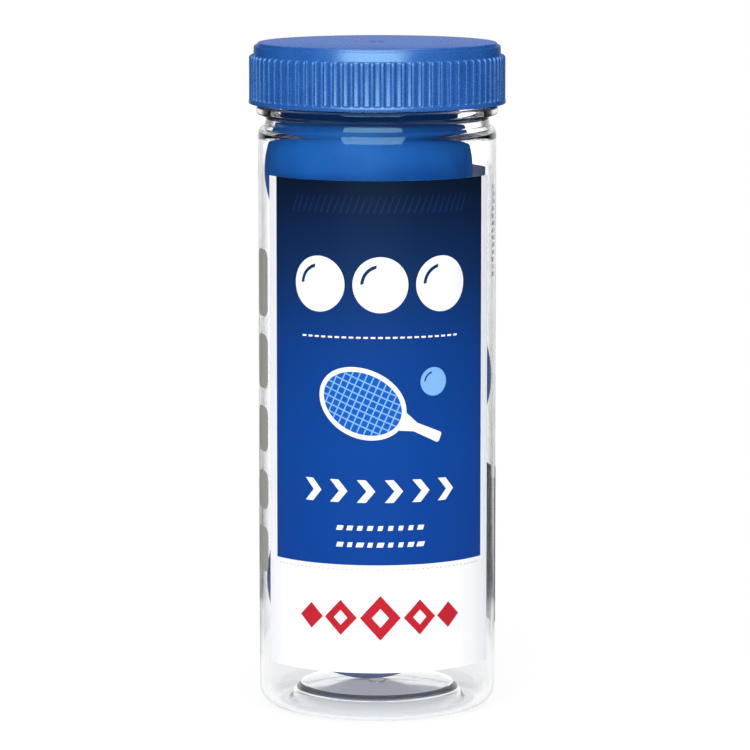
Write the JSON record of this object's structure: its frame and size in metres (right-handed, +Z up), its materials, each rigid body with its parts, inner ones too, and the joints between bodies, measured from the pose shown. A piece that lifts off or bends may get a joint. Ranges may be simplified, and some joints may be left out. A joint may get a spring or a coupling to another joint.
{
  "type": "racquetball can",
  "caption": "Clear plastic jar with a ribbed blue screw cap and a printed wrap label, holding hollow blue rubber balls for racquetball in one stack.",
  "frame": {"origin": "middle of the jar's foot, on the plane that it stands on", "axes": "+Z up along the jar's axis, out through the cap; the printed front of the label faces -Y"},
  "size_m": [0.0706, 0.0706, 0.1841],
  "materials": {
    "clear_jar": "gloss",
    "label_film": "satin",
    "cap_plastic": "satin",
    "liner_foam": "matte",
    "ball_rubber": "satin",
    "seam_cement": "satin"
  },
  "bodies": {
    "jar": {"jar": "clear_jar", "wrap_label": "label_film"},
    "liner": {"cap_liner": "liner_foam"},
    "cap": {"screw_cap": "cap_plastic"},
    "top_ball": {"top_ball_upper_half": "ball_rubber", "top_ball_lower_half": "ball_rubber", "top_ball_seam": "seam_cement"},
    "middle_ball": {"middle_ball_upper_half": "ball_rubber", "middle_ball_lower_half": "ball_rubber", "middle_ball_seam": "seam_cement"},
    "bottom_ball": {"bottom_ball_upper_half": "ball_rubber", "bottom_ball_lower_half": "ball_rubber", "bottom_ball_seam": "seam_cement"}
  },
  "joints": [
    {"name": "cap_lift", "type": "slide", "parent": "jar", "child": "liner", "axis": [0, 0, 1], "range_m": [0, 0.01681]},
    {"name": "cap_turn", "type": "hinge", "parent": "liner", "child": "cap", "pos_m": [0, 0, 0.175], "axis": [0, 0, 1], "range_deg": [0, 1440]},
    {"name": "top_ball_spin", "type": "hinge", "parent": "jar", "child": "top_ball", "pos_m": [-0.00232, -0.00209, 0.14918], "axis": [0, 0, 1], "continuous": true},
    {"name": "middle_ball_spin", "type": "hinge", "parent": "jar", "child": "middle_ball", "pos_m": [0.00313, 0, 0.09203], "axis": [0, 0, 1], "continuous": true},
    {"name": "bottom_ball_spin", "type": "hinge", "parent": "jar", "child": "bottom_ball", "pos_m": [-0.00232, 0.00209, 0.03488], "axis": [0, 0, 1], "continuous": true}
  ],
  "couplings": [
    {"joint": "cap_lift", "follows": "cap_turn", "m_per_rad": 0.00066845}
  ]
}
